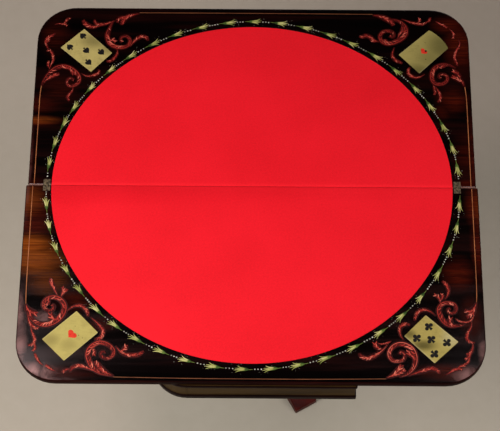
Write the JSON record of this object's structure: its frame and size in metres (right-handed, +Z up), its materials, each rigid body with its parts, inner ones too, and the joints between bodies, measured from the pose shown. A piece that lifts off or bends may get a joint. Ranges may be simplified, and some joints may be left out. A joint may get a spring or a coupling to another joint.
{
  "type": "card table",
  "caption": "Swivel-top card table: a turning top that unfolds on flush hinges over an oblong frame with a well, on a turned column with splayed legs.",
  "frame": {"origin": "on the floor, under the middle of the open top's outline", "axes": "+X along the seam of the open top, towards the back of the frame; +Y from the lower leaf's edge to the upper leaf's edge; +Z up"},
  "size_m": [0.91, 0.845, 0.735],
  "materials": {
    "painted_rosewood": "french polished, painted ornament",
    "frame_rosewood": "polished veneer",
    "ebonised_wood": "polished",
    "red_brown_wood": "polished",
    "inside_wood": "bare",
    "baize": "napped woollen cloth",
    "brass": "aged",
    "iron": "dark"
  },
  "bodies": {
    "base": {"back_moulding": "ebonised_wood", "back_pivot_rail_block": "inside_wood", "back_rail": "frame_rosewood", "column": "red_brown_wood", "column_bearer": "inside_wood", "far_corner_block": "frame_rosewood", "far_end_moulding": "ebonised_wood", "far_end_rail": "frame_rosewood", "far_leg": "red_brown_wood", "front_leg": "red_brown_wood", "front_moulding": "ebonised_wood", "front_pivot_rail_block": "inside_wood", "front_rail": "frame_rosewood", "near_corner_block": "frame_rosewood", "near_corner_glue_block": "inside_wood", "near_end_moulding": "ebonised_wood", "near_end_rail": "frame_rosewood", "near_leg": "red_brown_wood", "partition_glue_block": "inside_wood", "pivot_bush": "brass", "pivot_rail": "red_brown_wood", "spider_column_screw": "iron", "spider_far_leg_screw": "iron", "spider_front_leg_screw": "iron", "spider_near_leg_screw": "iron", "spider_plate": "iron", "well_bottom": "inside_wood", "well_partition": "inside_wood"},
    "lower_top": {"left_hinge_lower_pin": "iron", "left_hinge_lower_plate": "brass", "left_hinge_lower_screw": "brass", "lower_baize": "baize", "lower_leaf": "painted_rosewood", "pivot_bolt": "iron", "pivot_nut": "iron", "pivot_plate": "iron", "pivot_plate_screw_1": "iron", "pivot_plate_screw_2": "iron", "pivot_plate_screw_3": "iron", "pivot_plate_screw_4": "iron", "pivot_washer": "iron", "right_hinge_lower_pin": "iron", "right_hinge_lower_plate": "brass", "right_hinge_lower_screw": "brass", "turn_stop_block": "red_brown_wood"},
    "hinge_links": {"left_hinge_link": "brass", "right_hinge_link": "brass"},
    "upper_top": {"left_hinge_upper_pin": "iron", "left_hinge_upper_plate": "brass", "left_hinge_upper_screw": "brass", "right_hinge_upper_pin": "iron", "right_hinge_upper_plate": "brass", "right_hinge_upper_screw": "brass", "upper_baize": "baize", "upper_leaf": "painted_rosewood"}
  },
  "joints": [
    {"name": "top_turn", "type": "hinge", "parent": "base", "child": "lower_top", "pos_m": [0.10462, -0.10462, 0.716], "axis": [0, 0, 1], "range_deg": [-90, 0]},
    {"name": "link_turn", "type": "hinge", "parent": "lower_top", "child": "hinge_links", "pos_m": [0, -0.0028, 0.7326], "axis": [1, 0, 0], "range_deg": [0, 90]},
    {"name": "leaf_fold", "type": "hinge", "parent": "hinge_links", "child": "upper_top", "pos_m": [0, 0.0028, 0.7326], "axis": [1, 0, 0], "range_deg": [0, 90]}
  ]
}
